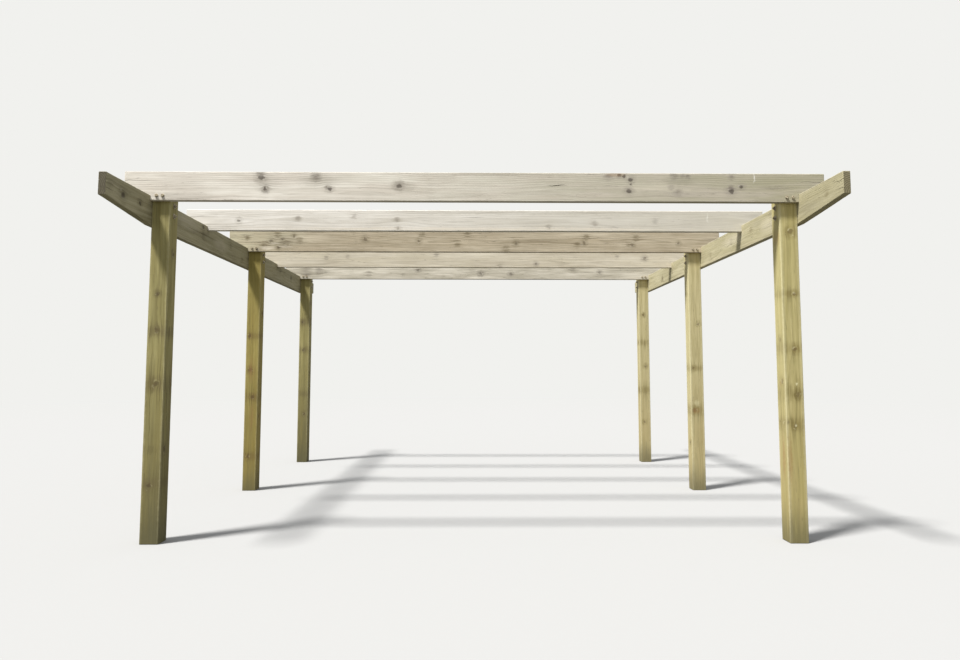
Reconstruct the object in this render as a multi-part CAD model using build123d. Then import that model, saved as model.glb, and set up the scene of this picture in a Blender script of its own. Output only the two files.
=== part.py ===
from build123d import *
import os

# Wooden pergola: six square posts, two side beams bolted to their outer faces, and five crossbeams.
# Millimetres. x runs left to right, y front to back, z up from the lowest ground at a post.
# The origin is on that ground, midway between the posts.

# Timber sections
POST_SIZE = 125.0
SIDE_BEAM_THICKNESS = 47.0
SIDE_BEAM_DEPTH = 200.0
CROSSBEAM_THICKNESS = 47.0
MAIN_CROSSBEAM_DEPTH = 200.0
BAY_CROSSBEAM_DEPTH = 175.0

# Layout
OUTER_WIDTH = 4440.0
POST_ROW_SPACING = 2040.0
HEADROOM = 2300.0
CROSSBEAM_OVERHANG = 133.0
TAIL_LENGTH = 597.5
TAIL_TIP_DEPTH = 140.0

# Timber joints
LEFT_LAP = 36.0
RIGHT_LAP = 56.0
CHECK_DEPTH = 15.0
NOTCH_CLEARANCE = 0.5

# Bolts through the side beams and posts
BOLT_DIAMETER = 12.0
BOLT_HEAD_DIAMETER = 30.0
BOLT_HEAD_HEIGHT = 7.0
BOLT_TAIL = 6.0
BOLT_WASHER_DIAMETER = 37.0
BOLT_WASHER_THICKNESS = 3.0
NUT_WIDTH = 19.0
NUT_HEIGHT = 10.0
UPPER_BOLT_DROP = 20.0
BOLT_PITCH = 70.0

# Coach screws through the crossbeams into the posts
SCREW_DIAMETER = 10.0
SCREW_LENGTH = 120.0
SCREW_POINT = 12.0
SCREW_HEAD_WIDTH = 17.0
SCREW_HEAD_HEIGHT = 7.0
SCREW_WASHER_DIAMETER = 24.0
SCREW_WASHER_THICKNESS = 2.0
SCREW_HEIGHT = 33.0
SCREW_PITCH = 42.0

# Room round a bolt or screw in its hole
HOLE_CLEARANCE = 0.3

# Derived places
POST_ROWS = {"front": -POST_ROW_SPACING, "middle": 0.0, "rear": POST_ROW_SPACING}
SIDES = {"left": -1, "right": 1}
LAPS = {"left": LEFT_LAP, "right": RIGHT_LAP}
BEAM_INNER_X = OUTER_WIDTH / 2
POST_X = BEAM_INNER_X - POST_SIZE / 2
CROSSBEAM_END_X = BEAM_INNER_X + SIDE_BEAM_THICKNESS + CROSSBEAM_OVERHANG
SIDE_BEAM_END_Y = POST_ROW_SPACING + POST_SIZE / 2 + TAIL_LENGTH
POST_TOP = HEADROOM + MAIN_CROSSBEAM_DEPTH
BOLT_HEIGHTS = [HEADROOM - UPPER_BOLT_DROP, HEADROOM - UPPER_BOLT_DROP - BOLT_PITCH]


def post_front(row_y):
    """Front face of the posts in the row at row_y."""
    return row_y - POST_SIZE / 2


def crossbeam_front(row_y):
    """Front face of the crossbeam that is checked into the posts of the row at row_y."""
    return post_front(row_y) + CHECK_DEPTH - CROSSBEAM_THICKNESS


def facing(x, y, z, direction):
    """Plane at a fixing's seat, with its normal along the way the head stands out."""
    return Plane(origin=(x, y, z), z_dir=direction)


def hole(seat, diameter, depth):
    """Clearance hole that runs from a fixing's seat into the timber."""
    radius = diameter / 2 + HOLE_CLEARANCE
    return seat * Cylinder(radius, depth, align=(Align.CENTER, Align.CENTER, Align.MAX))


def bolt_seats(side, row_y):
    """Seats of the two bolts of one post, on the outer face of the side beam."""
    x = side * (BEAM_INNER_X + SIDE_BEAM_THICKNESS)
    return [facing(x, row_y, z, (side, 0, 0)) for z in BOLT_HEIGHTS]


def screw_seats(side, row_y):
    """Seats of the two screws of one post, on the front face of its crossbeam."""
    y = crossbeam_front(row_y)
    z = HEADROOM + SCREW_HEIGHT
    return [facing(side * POST_X + dx, y, z, (0, -1, 0)) for dx in (-SCREW_PITCH / 2, SCREW_PITCH / 2)]


def bolt_holes(side, row_y):
    """Holes for one post's bolts, through side beam and post."""
    reach = SIDE_BEAM_THICKNESS + POST_SIZE
    return [hole(seat, BOLT_DIAMETER, reach) for seat in bolt_seats(side, row_y)]


def screw_holes(side, row_y):
    """Holes for one post's screws, through the crossbeam and into the post."""
    reach = SCREW_LENGTH + HOLE_CLEARANCE
    return [hole(seat, SCREW_DIAMETER, reach) for seat in screw_seats(side, row_y)]


def make_post(side, row_y):
    """Square post, checked at the top of its front face for the crossbeam."""
    front = post_front(row_y)
    back = front + POST_SIZE
    outline = Polyline(
        (front, 0),
        (back, 0),
        (back, POST_TOP),
        (front + CHECK_DEPTH, POST_TOP),
        (front + CHECK_DEPTH, HEADROOM),
        (front, HEADROOM),
        close=True,
    )
    inner_face = side * POST_X - POST_SIZE / 2
    post = extrude(Plane.YZ.offset(inner_face) * make_face(outline), POST_SIZE)
    return post - bolt_holes(side, row_y) - screw_holes(side, row_y)


def make_side_beam(name):
    """Side beam on the posts' outer faces, its underside tapered up past the end posts."""
    side = SIDES[name]
    top = HEADROOM + LAPS[name]
    bottom = top - SIDE_BEAM_DEPTH
    tip = top - TAIL_TIP_DEPTH
    taper_start = SIDE_BEAM_END_Y - TAIL_LENGTH
    outline = Polyline(
        (-SIDE_BEAM_END_Y, top),
        (-SIDE_BEAM_END_Y, tip),
        (-taper_start, bottom),
        (taper_start, bottom),
        (SIDE_BEAM_END_Y, tip),
        (SIDE_BEAM_END_Y, top),
        close=True,
    )
    left_face = side * (BEAM_INNER_X + SIDE_BEAM_THICKNESS / 2) - SIDE_BEAM_THICKNESS / 2
    beam = extrude(Plane.YZ.offset(left_face) * make_face(outline), SIDE_BEAM_THICKNESS)
    for row_y in POST_ROWS.values():
        beam -= bolt_holes(side, row_y)
    return beam


def make_crossbeam(front, depth):
    """Crossbeam notched on its underside to drop over both side beams."""
    left = -BEAM_INNER_X - SIDE_BEAM_THICKNESS - NOTCH_CLEARANCE
    right = BEAM_INNER_X - NOTCH_CLEARANCE
    notch_width = SIDE_BEAM_THICKNESS + 2 * NOTCH_CLEARANCE
    corner = (Align.MIN, Align.MIN)
    profile = Pos(-CROSSBEAM_END_X, HEADROOM) * Rectangle(2 * CROSSBEAM_END_X, depth, align=corner)
    profile -= Pos(left, HEADROOM) * Rectangle(notch_width, LEFT_LAP, align=corner)
    profile -= Pos(right, HEADROOM) * Rectangle(notch_width, RIGHT_LAP, align=corner)
    back = front + CROSSBEAM_THICKNESS
    return extrude(Plane.XZ.offset(-back) * profile, CROSSBEAM_THICKNESS)


def make_main_crossbeam(row_y):
    """Deep crossbeam in front of a row of posts, bored for their screws."""
    beam = make_crossbeam(crossbeam_front(row_y), MAIN_CROSSBEAM_DEPTH)
    for side in SIDES.values():
        beam -= screw_holes(side, row_y)
    return beam


def make_bay_crossbeam(row_y, next_row_y):
    """Shallower crossbeam midway between two rows of posts."""
    front = (crossbeam_front(row_y) + crossbeam_front(next_row_y)) / 2
    return make_crossbeam(front, BAY_CROSSBEAM_DEPTH)


def make_bolt():
    """Cup-headed bolt with washer and nut, its head standing on the z = 0 plane."""
    grip = SIDE_BEAM_THICKNESS + POST_SIZE
    below = (Align.CENTER, Align.CENTER, Align.MAX)
    rim = (BOLT_HEAD_DIAMETER / 2, 0)
    crown = (0, BOLT_HEAD_HEIGHT)
    seat_and_axis = Polyline(rim, (0, 0), crown)
    dome = TangentArc(crown, rim, tangent=(1, 0))
    head = revolve(Plane.XZ * make_face(Curve() + [seat_and_axis, dome]), Axis.Z)
    shank_length = grip + BOLT_WASHER_THICKNESS + NUT_HEIGHT + BOLT_TAIL
    shank = Cylinder(BOLT_DIAMETER / 2, shank_length, align=below)
    washer = Pos(0, 0, -grip) * Cylinder(BOLT_WASHER_DIAMETER / 2, BOLT_WASHER_THICKNESS, align=below)
    nut_outline = RegularPolygon(NUT_WIDTH / 2, 6, major_radius=False)
    nut_top = -grip - BOLT_WASHER_THICKNESS
    nut = extrude(Pos(0, 0, nut_top) * nut_outline, -NUT_HEIGHT)
    return head + shank + washer + nut


def make_screw():
    """Hexagon-headed coach screw with its washer lying on the z = 0 plane."""
    above = (Align.CENTER, Align.CENTER, Align.MIN)
    below = (Align.CENTER, Align.CENTER, Align.MAX)
    washer = Cylinder(SCREW_WASHER_DIAMETER / 2, SCREW_WASHER_THICKNESS, align=above)
    head_outline = RegularPolygon(SCREW_HEAD_WIDTH / 2, 6, major_radius=False)
    head = extrude(Pos(0, 0, SCREW_WASHER_THICKNESS) * head_outline, SCREW_HEAD_HEIGHT)
    shank = Cylinder(SCREW_DIAMETER / 2, SCREW_LENGTH - SCREW_POINT, align=below)
    point = Pos(0, 0, -(SCREW_LENGTH - SCREW_POINT)) * Rot(180, 0, 0) * Cone(
        SCREW_DIAMETER / 2, 0, SCREW_POINT, align=above
    )
    return washer + head + shank + point


def write(shape, name):
    """Writes one sub-part to its own file."""
    export_step(shape, f"parts/{name}.step")


def main():
    os.makedirs("parts", exist_ok=True)
    bolt = make_bolt()
    screw = make_screw()
    for row, row_y in POST_ROWS.items():
        for side_name, side in SIDES.items():
            place = f"{row}_{side_name}"
            write(make_post(side, row_y), f"{place}_post")
            bolts = [seat * bolt for seat in bolt_seats(side, row_y)]
            write(Compound(children=bolts), f"{place}_beam_bolts")
            screws = [seat * screw for seat in screw_seats(side, row_y)]
            write(Compound(children=screws), f"{place}_crossbeam_screws")
        write(make_main_crossbeam(row_y), f"{row}_crossbeam")
    write(make_bay_crossbeam(POST_ROWS["front"], POST_ROWS["middle"]), "front_bay_crossbeam")
    write(make_bay_crossbeam(POST_ROWS["middle"], POST_ROWS["rear"]), "rear_bay_crossbeam")
    for side_name in SIDES:
        write(make_side_beam(side_name), f"{side_name}_side_beam")


main()
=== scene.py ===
import math
import random

import bmesh
import bpy
from mathutils import Matrix, Vector, noise


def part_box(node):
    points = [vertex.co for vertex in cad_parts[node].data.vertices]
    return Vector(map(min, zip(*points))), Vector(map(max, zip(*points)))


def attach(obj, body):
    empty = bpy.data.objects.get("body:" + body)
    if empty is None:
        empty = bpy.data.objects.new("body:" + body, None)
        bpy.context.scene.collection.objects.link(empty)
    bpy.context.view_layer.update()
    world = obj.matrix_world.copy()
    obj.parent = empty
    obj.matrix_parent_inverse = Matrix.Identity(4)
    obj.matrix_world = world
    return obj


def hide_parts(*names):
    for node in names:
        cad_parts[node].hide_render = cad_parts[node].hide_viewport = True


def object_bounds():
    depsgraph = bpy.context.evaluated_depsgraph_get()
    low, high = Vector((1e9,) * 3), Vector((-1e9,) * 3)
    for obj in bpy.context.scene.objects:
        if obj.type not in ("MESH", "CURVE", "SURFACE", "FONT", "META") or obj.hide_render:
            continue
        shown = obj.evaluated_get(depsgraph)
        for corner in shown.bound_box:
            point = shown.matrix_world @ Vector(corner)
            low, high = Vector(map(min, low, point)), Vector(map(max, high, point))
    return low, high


# Weathered pine pergola: thirteen sawn timbers, and the bolts and coach screws that hold them.
# Metres. x runs left to right, y front to back, z up from the feet of the posts.

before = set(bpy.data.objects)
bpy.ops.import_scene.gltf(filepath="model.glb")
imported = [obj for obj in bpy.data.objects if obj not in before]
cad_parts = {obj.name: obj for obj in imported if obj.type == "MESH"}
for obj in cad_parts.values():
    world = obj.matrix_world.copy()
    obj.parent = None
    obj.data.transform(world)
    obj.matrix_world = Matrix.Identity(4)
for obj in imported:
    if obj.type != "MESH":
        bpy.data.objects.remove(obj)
cad_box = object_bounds()

X, Y, Z = 0, 1, 2

# Layout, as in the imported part
POST_SIZE = 0.125
ROW_SPACING = 2.040
BEAM_INNER_X = 2.220
SIDE_BEAM_THICKNESS = 0.047
SIDE_BEAM_DEPTH = 0.200
TAIL_TIP_DEPTH = 0.140
CROSSBEAM_UNDERSIDE = 2.300
CROSSBEAM_THICKNESS = 0.047
CHECK_DEPTH = 0.015
NOTCH_CLEARANCE = 0.0005

ROWS = {"front": -ROW_SPACING, "middle": 0.0, "rear": ROW_SPACING}
SIDES = {"left": -1, "right": 1}
POST_X = BEAM_INNER_X - POST_SIZE / 2
BEAM_OUTER_X = BEAM_INNER_X + SIDE_BEAM_THICKNESS
TAIL_START = ROW_SPACING + POST_SIZE / 2

# Fixings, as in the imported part
BOLT_HEIGHTS = [CROSSBEAM_UNDERSIDE - drop for drop in (0.020, 0.090)]
BOLT_RADIUS = 0.006
BOLT_GRIP = SIDE_BEAM_THICKNESS + POST_SIZE
BOLT_HEAD_RADIUS = 0.015
BOLT_HEAD_HEIGHT = 0.007
BOLT_TAIL = 0.006
BOLT_WASHER_RADIUS = 0.0185
BOLT_WASHER_THICKNESS = 0.003
NUT_WIDTH = 0.019
NUT_HEIGHT = 0.010
SCREW_RADIUS = 0.005
SCREW_SHANK = 0.060
SCREW_HEAD_WIDTH = 0.017
SCREW_HEAD_HEIGHT = 0.007
SCREW_WASHER_RADIUS = 0.012
SCREW_WASHER_THICKNESS = 0.002
SCREW_HEIGHT = CROSSBEAM_UNDERSIDE + 0.033
SCREW_SHIFTS = (-0.021, 0.021)

# Thread of the bolts: a coarse M12 pitch, cut along the last 20 mm of the grip and the tail
THREAD_PITCH = 0.00175
THREAD_IN_GRIP = 0.02

# Sawn edges: rounding, and the most they have worn back
ARRIS_WIDTH = 0.0035
ARRIS_WEAR = 0.0026

# Drying checks and splits
CHECK_WIDTH = 0.0040
FRONT_CHECK_WIDTH = 0.0020
POST_CHECK_DEPTH = 0.024
TOP_SPLIT_LENGTH = 0.35
TOP_SPLIT_DEPTH = 0.03
HEART_CHECKS = 4
HEART_CHECK_WIDTH = 0.0024
HEART_CHECK_DEPTH = 0.025
END_SPLIT_WIDTH = 0.0035
END_SPLIT_DEPTH = 0.016

# On the other face an end split lies higher, and is shorter and shallower
BACK_SPLIT_SHIFT = 0.004
BACK_SPLIT_SHARE = 0.8
BACK_SPLIT_DEPTH = 0.014

# The blades that cut them: how far they stand proud, sway and jog
BLADE_PROUD = 0.004
BLADE_SWAY = 0.010
BLADE_JOG = 0.0015

# Spacing of the cuts across a timber or a blade, room round a cutter, and doubles to merge
CUT_SPACING = 0.035
CUTTER_ROOM = 0.01
MERGE_DISTANCE = 0.00002

# Knots: stretch along the grain, the share of the fibres' bend left one radius out, and a distance
# that stands for no knot at all
KNOT_STRETCH = 1.10
BEND_LEFT = 0.72
NO_KNOT = 90.0

# Studio
BACKGROUND = "F1F1EE"
FLOOR_SIZE = 160
FLOOR_SEEN = "A0A0A0"
FLOOR_BOUNCE = "53524C"
FADE_FROM = 5.0
FADE_TO = 22.0
SKY_COLOUR = (0.96, 0.98, 1.0, 1)
SKY_STRENGTH = 0.62
KEY_STRENGTH = 6.8
KEY_SPREAD = math.radians(8)
KEY_COLOUR = (1.0, 0.985, 0.95)
KEY_WAY = Vector((0.37, 0.25, -0.895))

# Camera, fitted to the photograph: lens in mm on a 36 mm wide picture, angles in radians
CAMERA_PLACE = (-0.0189, -6.7808, 1.1506)
CAMERA_TILT = 0.07996
CAMERA_ROLL = -0.00073
CAMERA_TURN = -0.00994
CAMERA_LENS = 25.893
CAMERA_SHIFT = -0.01615


def rgb(code):
    """Linear colour, with alpha, from an sRGB hex code."""
    parts = [int(code[i : i + 2], 16) / 255 for i in (0, 2, 4)]
    linear = [c / 12.92 if c <= 0.04045 else ((c + 0.055) / 1.055) ** 2.4 for c in parts]
    return (*linear, 1.0)


def node(tree, kind, inputs=(), output=0, stops=(), **settings):
    """Adds a shader node, and gives one of its outputs, or the node itself where output is None.

    A sum's kind names its operation too, as in "Math ADD". Inputs come in order, or in a dict by
    name or number, and are values or other nodes' outputs. Stops are a ramp's places and grey levels.
    """
    kind, _, operation = kind.partition(" ")
    made = tree.nodes.new(f"ShaderNode{kind}")
    if operation:
        made.operation = operation
    for name, value in settings.items():
        setattr(made, name, value)
    keyed = inputs if isinstance(inputs, dict) else dict(enumerate(inputs))
    for key, value in keyed.items():
        if isinstance(value, bpy.types.NodeSocket):
            tree.links.new(value, made.inputs[key])
        else:
            made.inputs[key].default_value = value
    if stops:
        used = made.color_ramp.elements
        for position, level in stops:
            used.new(position).color = (level, level, level, 1.0)
        used.remove(used[0])
        used.remove(used[-1])
    return made if output is None else made.outputs[output]


def empty_material(name):
    """New material with nothing in its node tree."""
    material = bpy.data.materials.new(name)
    material.use_nodes = True
    material.node_tree.nodes.clear()
    return material


def paint_over(tree, colour, layers):
    """Lays colours over one another, each by its mask."""
    for mask, over in layers:
        colour = node(tree, "Mix", {0: mask, 6: colour, 7: over}, 2, data_type="RGBA")
    return colour


# Timber finish


def streaky_noise(tree, spot, stretch, detail, roughness=0.5, output="Fac"):
    """Noise in streaks along the grain; stretch says how many fit in a metre, each way."""
    place = node(tree, "VectorMath MULTIPLY", (spot, stretch))
    pattern = {"Vector": place, "Scale": 1.0, "Detail": detail, "Roughness": roughness}
    return node(tree, "TexNoise", pattern, output)


def lay_out(way, along, across):
    """Place on a timber, in its own directions, of what runs through it one way or bands it."""
    return {"thin": (along, 0, across), "wide": (along, across, 0), "band": (along, 0, 0)}[way]


def measure_from(tree, spot, way, along, across, half_along, half_across):
    """Offset from a place on a timber, plain and as shares of a half length and half width."""
    to_place = lay_out(way, -along, -across)
    offset = node(tree, "VectorMath MULTIPLY_ADD", (spot, lay_out(way, 1, 1), to_place))
    per_half = (1 / half_along, 1 / half_across, 1 / half_across)
    return offset, node(tree, "VectorMath MULTIPLY", (offset, per_half))


def knots_and_flow(tree, spot, knots):
    """Square of the distance to the nearest knot, in knot radii, and the push of all on the fibres.

    A knot runs right through its timber, so one of the two cross directions doesn't count.
    """
    nearest = node(tree, "Value")
    nearest.default_value = NO_KNOT
    push = node(tree, "CombineXYZ")
    for way, along, across, radius in knots:
        offset, shares = measure_from(tree, spot, way, along, across, KNOT_STRETCH * radius, radius)
        squared = node(tree, "VectorMath DOT_PRODUCT", (shares, shares), "Value")
        nearest = node(tree, "Math MINIMUM", (squared, nearest))
        if way != "band":
            fading = node(tree, "Math POWER", (BEND_LEFT, squared))
            own_push = node(tree, "VectorMath SCALE", {0: offset, "Scale": fading})
            push = node(tree, "VectorMath ADD", (push, own_push))
    return nearest, push


def mark_mask(tree, spot, facing, broken, way, sign, strength, *ellipse):
    """Mask of one run, dropping, stain or painted highlight on one face of a timber."""
    offset, shares = measure_from(tree, spot, way, *ellipse)
    distance = node(tree, "VectorMath LENGTH", (shares,), "Value")
    mask = node(tree, "MapRange", (distance, 0.5, 1.3, strength, 0.0))
    on_face = node(tree, "MapRange", (facing, 0.3 * sign, 0.7 * sign))
    mask = node(tree, "Math MULTIPLY", (mask, on_face))
    return node(tree, "Math MULTIPLY", (mask, broken))


def weathered_pine(node_name, axes, spec, pith, seed, foot):
    """Treated pine, rough sawn and left out for years.

    The soft early wood has greyed and worn back between finer, darker ridges of late wood, so the
    face is matt and streaked along the grain. The streaks part round brown, smudged knots. There
    are hairline checks, arrises paler from rubbing and from a painted highlight, dirt, lichen and
    painted shade on the tops, and brown end grain.
    """
    material = empty_material(f"weathered_pine_{node_name}")
    tree = material.node_tree
    look = spec["look"]
    paint = {part: rgb(code) for part, code in look.items() if isinstance(code, str)}
    low, high = ([corner[axis] for axis in axes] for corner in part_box(node_name))
    centre = [(low[i] + high[i]) / 2 for i in range(3)]
    half = [(high[i] - low[i]) / 2 for i in range(3)]
    place = node(tree, "TexCoord", output=None)
    split = node(tree, "SeparateXYZ", (place.outputs["Object"],), None)
    along, thin, wide = (split.outputs[axis] for axis in axes)
    spot = node(tree, "CombineXYZ", (along, thin, wide))

    # Every timber takes its own part of the pattern
    shift = (seed * 7.3, seed * 1.9, seed * 3.1)
    middle = (shift[0], shift[1] - centre[1], shift[2] - centre[2])
    board = node(tree, "VectorMath ADD", (spot, middle))

    # Knots, their outlines roughened by up to 6 mm
    ragged = node(tree, "TexNoise", {"Vector": board, "Scale": 38.0, "Detail": 3.0}, None)
    ragged_level = ragged.outputs["Fac"]
    rough_spot = node(
        tree, "VectorMath MULTIPLY_ADD", (ragged.outputs["Color"], (0.036, 0.028, 0.028), spot)
    )
    rough_spot = node(tree, "VectorMath ADD", (rough_spot, (-0.018, -0.014, -0.014)))
    knot_squared, push = knots_and_flow(tree, rough_spot, spec["knots"])
    smudge_squared, soft_push = knots_and_flow(tree, rough_spot, spec["smudges"])
    knot = node(tree, "Math SQRT", (knot_squared,))
    smudge = node(tree, "Math SQRT", (smudge_squared,))

    # The grain wanders 15 mm to each side over a metre or so, and parts round the knots
    sway = streaky_noise(tree, board, (1.3, 4.0, 4.0), 1.0, output="Color")
    swayed = node(tree, "VectorMath MULTIPLY_ADD", (sway, (0, 0.044, 0.044), board))
    parted = node(tree, "VectorMath MULTIPLY_ADD", (push, (0, -0.92, -0.92), swayed))
    grain = node(tree, "VectorMath MULTIPLY_ADD", (soft_push, (0, -0.6, -0.6), parted))

    # Growth rings about the pith, 12 mm apart, wider than real ones so that they show
    to_pith = (0, -pith[0] - shift[1], -pith[1] - shift[2])
    from_pith = node(tree, "VectorMath MULTIPLY_ADD", (grain, (0, 1, 1), to_pith))
    radius = node(tree, "VectorMath LENGTH", (from_pith,), "Value")
    uneven = streaky_noise(tree, grain, (1.5, 17, 17), 1.0)
    turns = node(tree, "Math MULTIPLY_ADD", (radius, 1 / look["ring_width"], uneven))
    phase = node(tree, "Math FRACT", (turns,))
    late_stops = ((0.00, 0.3), (0.12, 0), (0.50, 0.12), (0.82, 1), (1.00, 0.3))
    late_wood = node(tree, "ValToRGB", (phase,), stops=late_stops)

    # Fibre streaks: fine ones 3 mm wide, coarser than real fibre so that they show, broad ones
    # 16 mm wide, and clouds half a metre long
    fine = streaky_noise(tree, grain, (6, 330, 330), 2.0, 0.6)
    broad = streaky_noise(tree, grain, (1.9, 62, 62), 4.0, 0.65)
    clouds = streaky_noise(tree, grain, look["cloud"], 5.0, 0.6, None)
    cloud = clouds.outputs["Fac"]
    second_cloud = node(tree, "SeparateColor", (clouds.outputs["Color"],), 1)
    streaks = node(tree, "Math MULTIPLY", (fine, 0.24))
    streaks = node(tree, "Math MULTIPLY_ADD", (broad, 0.38, streaks))
    streaks = node(tree, "Math MULTIPLY_ADD", (cloud, 0.38, streaks))
    spread = look["streak_range"]
    tone = node(tree, "MapRange", (streaks, 0.5 - spread, 0.5 + spread))

    # Late wood shows more in some lengths, and round the knots
    rings = look["rings"]
    ring_show = node(tree, "MapRange", (cloud, 0.35, 0.65, 0.3 * rings, rings))
    near_any = node(tree, "Math MINIMUM", (knot, smudge))
    ring_near = node(tree, "MapRange", (near_any, 1.0, 4.0, 0.45, 0.0))
    ring_share = node(tree, "Math ADD", (ring_show, ring_near))
    ring_mask = node(tree, "Math MULTIPLY", (late_wood, ring_share), use_clamp=True)

    # Hairline checks: dark lines 1 to 2 mm wide, a few hundred millimetres long
    way = node(tree, "VectorMath MULTIPLY_ADD", (grain, (2.2, 80, 80), (9, 9, 9)))
    hair = node(tree, "TexNoise", {"Vector": way, "Scale": 1.0, "Detail": 1.0})
    off_line = node(tree, "Math SUBTRACT", (hair, 0.57))
    off_line = node(tree, "Math ABSOLUTE", (off_line,))
    line = node(tree, "MapRange", (off_line, 0.002, 0.016, look["hairline"], 0.0))
    where = node(tree, "MapRange", (second_cloud, 0.46, 0.56))
    hairline = node(tree, "Math MULTIPLY", (line, where))

    # Patches of a second tint, a quarter of a metre long
    tint_mask = node(tree, "MapRange", (second_cloud, 0.40, 0.64, 0.0, look["tinted"]))

    # Smudges where a knot lies just under the face, broken up by the streaks, a faint halo round
    # every sound knot, and pale flecks close to it
    soft = "SMOOTHSTEP"
    broken = node(tree, "MapRange", (broad, 0.38, 0.60, 0.35))
    smudge_mask = node(
        tree, "MapRange", (smudge, 0.2, 2.2, look["smudged"], 0.0), interpolation_type=soft
    )
    smudge_mask = node(tree, "Math MULTIPLY", (smudge_mask, broken))
    halo = node(tree, "MapRange", (knot, 0.9, 4.2, look["halo"], 0.0), interpolation_type=soft)
    halo = node(tree, "Math MULTIPLY", (halo, broken))
    flecked = node(tree, "MapRange", (ragged_level, 0.56, 0.66))
    near_knot = node(tree, "MapRange", (knot, 2.4, 1.4, 0.0, 0.45))
    flecks = node(tree, "Math MULTIPLY", (flecked, near_knot))

    # Sound knots: a dark heart and rim with browner rings between
    knot_turn = node(tree, "Math MULTIPLY", (knot, 4.0))
    knot_wave = node(tree, "Math FRACT", (knot_turn,))
    knot_stops = ((0.00, 1), (0.30, 0.35), (0.70, 0.15), (0.92, 0.9), (1.0, 0.5))
    knot_dark = node(tree, "ValToRGB", (knot,), stops=knot_stops)
    knot_layers = [(knot_wave, paint["knot"]), (knot_dark, paint["knot_heart"])]
    knot_colour = paint_over(tree, paint["knot_heart"], knot_layers)
    knot_mask = node(
        tree, "MapRange", (knot, 0.60, 1.50, look["knotted"], 0.0), interpolation_type=soft
    )

    # Paler arrises, their edge roughened: partly rubbed wear, partly a painted highlight along the edges
    inset = node(tree, "VectorMath SUBTRACT", (spot, (0, *centre[1:])))
    inset = node(tree, "VectorMath ABSOLUTE", (inset,))
    inset = node(tree, "VectorMath SUBTRACT", ((0, *half[1:]), inset))
    insets = node(tree, "SeparateXYZ", (inset,), None).outputs
    from_arris = node(tree, "Math MAXIMUM", (insets[1], insets[2]))
    from_arris = node(tree, "Math MULTIPLY_ADD", (ragged_level, 0.020, from_arris))
    rub_and_highlight_end = 0.008 + look["rub_width"]
    arris_wear_and_highlight = node(tree, "MapRange", (from_arris, 0.008, rub_and_highlight_end, look["rub"], 0.0))

    # Tops are darker, with dirt and with painted shade against the strong light from above, and hold 16
    # mm patches of pale lichen; the end grain is browner
    facing = node(tree, "SeparateXYZ", (place.outputs["Normal"],), None).outputs
    up = node(tree, "MapRange", (facing[Z], 0.6, 0.9, 0.0, 0.70))
    crust = node(tree, "TexNoise", {"Vector": board, "Scale": 60.0, "Detail": 4.0, "Roughness": 0.7})
    lichen = node(tree, "MapRange", (crust, 0.58, 0.64))
    lichen = node(tree, "Math MULTIPLY", (lichen, up))
    end_way = node(tree, "Math ABSOLUTE", (facing[axes[0]],))
    end_grain = node(tree, "MapRange", (end_way, 0.7, 0.95, 0.0, 0.7))
    end_rings = node(tree, "Math MULTIPLY", (late_wood, end_grain))

    # Colour that changes from one end to the other: weathering, and painted shade on the front crossbeams
    # and the left posts
    first, last, strength = look["drift_over"]
    drift = node(tree, "MapRange", (along, first, last, 0.0, strength), interpolation_type=soft)

    layers = [
        (tone, paint["shade"]), (drift, paint["drift"]), (tint_mask, paint["tint"]),
        (ring_mask, paint["late"]), (smudge_mask, paint["smudge"]), (halo, paint["smudge"]),
        (hairline, paint["dark"]), (flecks, paint["rubbed"]), (knot_mask, knot_colour),
        (arris_wear_and_highlight, paint["rubbed"]), (up, paint["top"]), (lichen, paint["lichen"]),
        (end_grain, paint["end"]), (end_rings, paint["dark"]),
    ]

    # Damp, greener feet on the posts
    if foot:
        creep = node(tree, "Math MULTIPLY_ADD", (cloud, 0.40, along))
        damp = node(tree, "MapRange", (creep, 0.20, 0.52, 0.65, 0.0), interpolation_type=soft)
        layers.append((damp, paint["foot"]))

    for way, sign, kind, *ellipse, strength in spec.get("marks", ()):
        face = facing[axes[1 if way == "thin" else 2]]
        mask = mark_mask(tree, rough_spot, face, broken, way, sign, strength, *ellipse)
        layers.append((mask, rgb(MARK_COLOURS[kind])))

    colour = paint_over(tree, paint["pale"], layers)

    # Relief up to 1 mm: late wood and knots proud, fibre furred, hairlines sunk
    relief = node(tree, "Math MULTIPLY", (late_wood, 0.25))
    for height, share in ((fine, 0.60), (hairline, -0.80), (knot_mask, 0.35)):
        relief = node(tree, "Math MULTIPLY_ADD", (height, share, relief))
    bump = node(tree, "Bump", {"Strength": 0.9, "Distance": 0.001, "Height": relief})
    matt = node(tree, "MapRange", (fine, 0.3, 0.7, 0.76, 0.92))
    finish = {"Base Color": colour, "Roughness": matt, "Normal": bump, "IOR": 1.45}
    shader = node(tree, "BsdfPrincipled", finish)
    node(tree, "OutputMaterial", (shader,), None)
    return material


# Steel finish


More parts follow.
